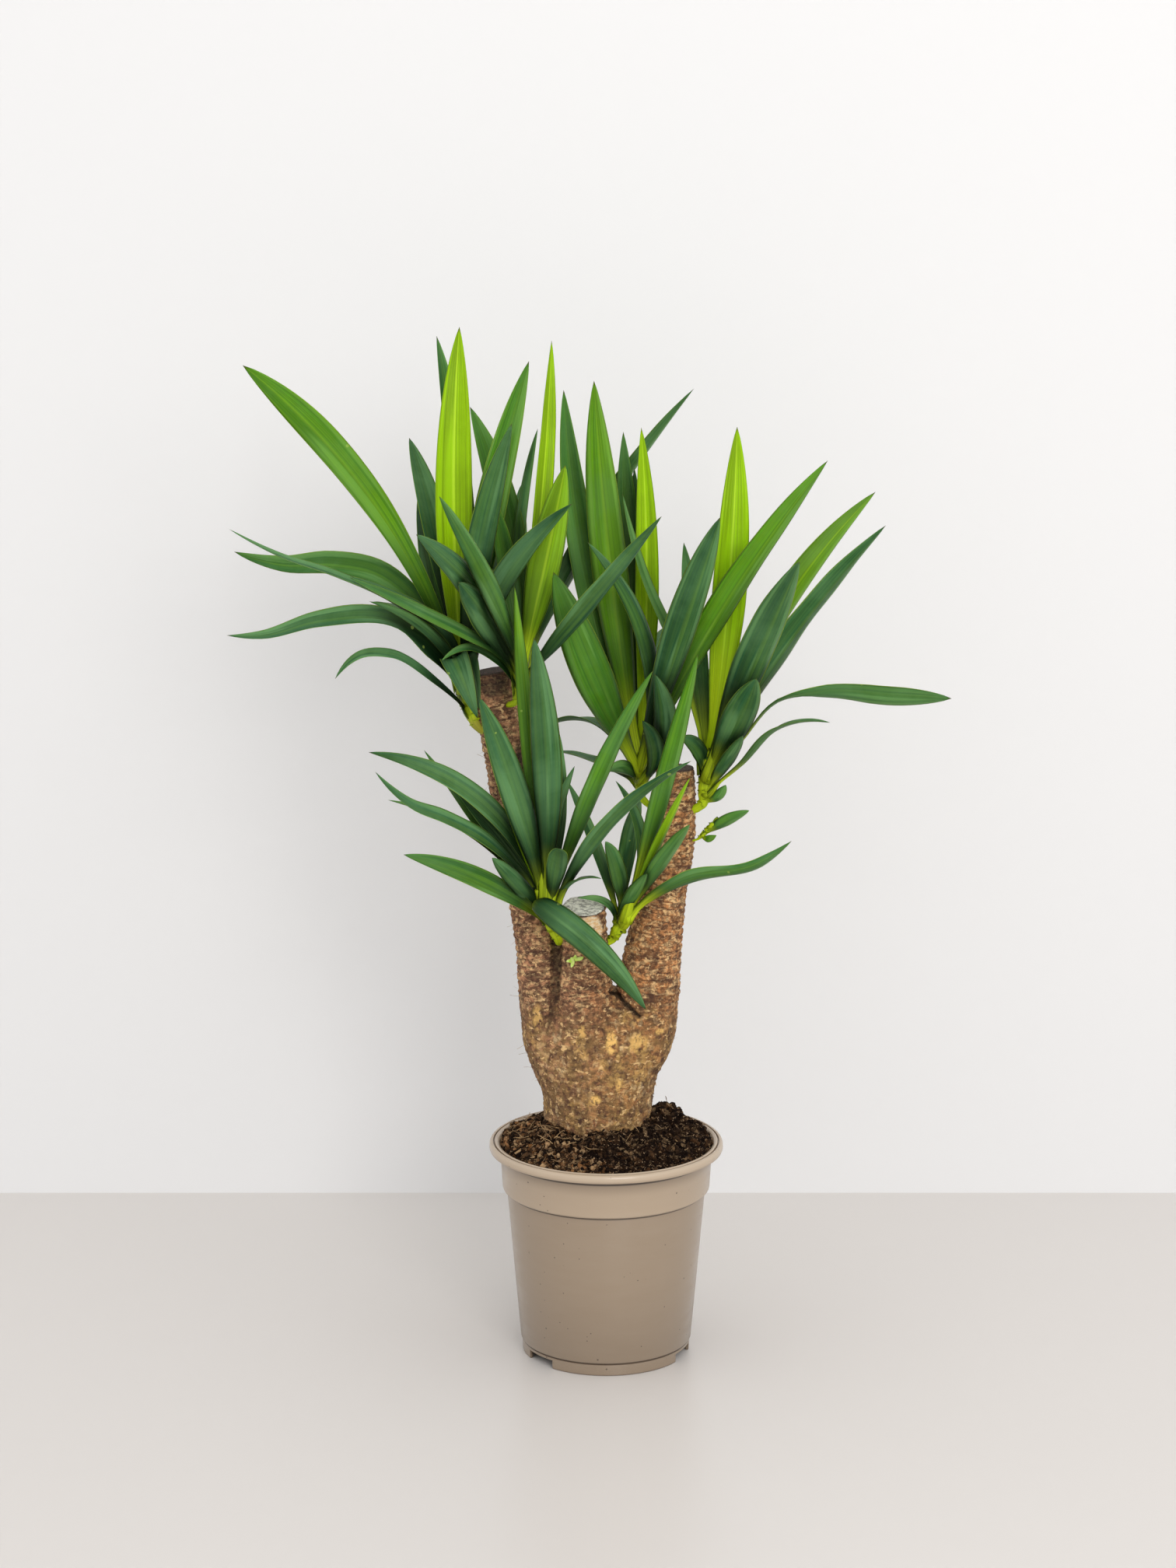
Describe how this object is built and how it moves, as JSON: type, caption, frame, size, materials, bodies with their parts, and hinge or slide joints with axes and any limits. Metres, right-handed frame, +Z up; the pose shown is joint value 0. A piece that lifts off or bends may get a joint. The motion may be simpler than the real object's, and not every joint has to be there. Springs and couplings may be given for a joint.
{
  "type": "potted yucca plant",
  "caption": "Spineless yucca with a branched woody trunk and leafy heads of long strap leaves, in a plain round nursery pot.",
  "frame": {"origin": "middle of the pot's underside, on the pot's axis, level with the surface it stands on", "axes": "+Z up, +X to the viewer's right, -Y towards the viewer, as in the picture"},
  "size_m": [0.6266, 0.3516, 0.9208],
  "materials": {
    "pot_plastic": "satin taupe plastic",
    "soil_peat": "dark crumbly peat",
    "trunk_bark": "rough fibrous bark",
    "leaf_green": "smooth satin leaves"
  },
  "bodies": {
    "root": {"pot": "pot_plastic", "soil": "soil_peat", "trunk": "trunk_bark", "head_a": "leaf_green", "head_b": "leaf_green", "head_c": "leaf_green", "head_d": "leaf_green", "head_e": "leaf_green", "head_f": "leaf_green", "shoot_g": "leaf_green"}
  },
  "joints": []
}
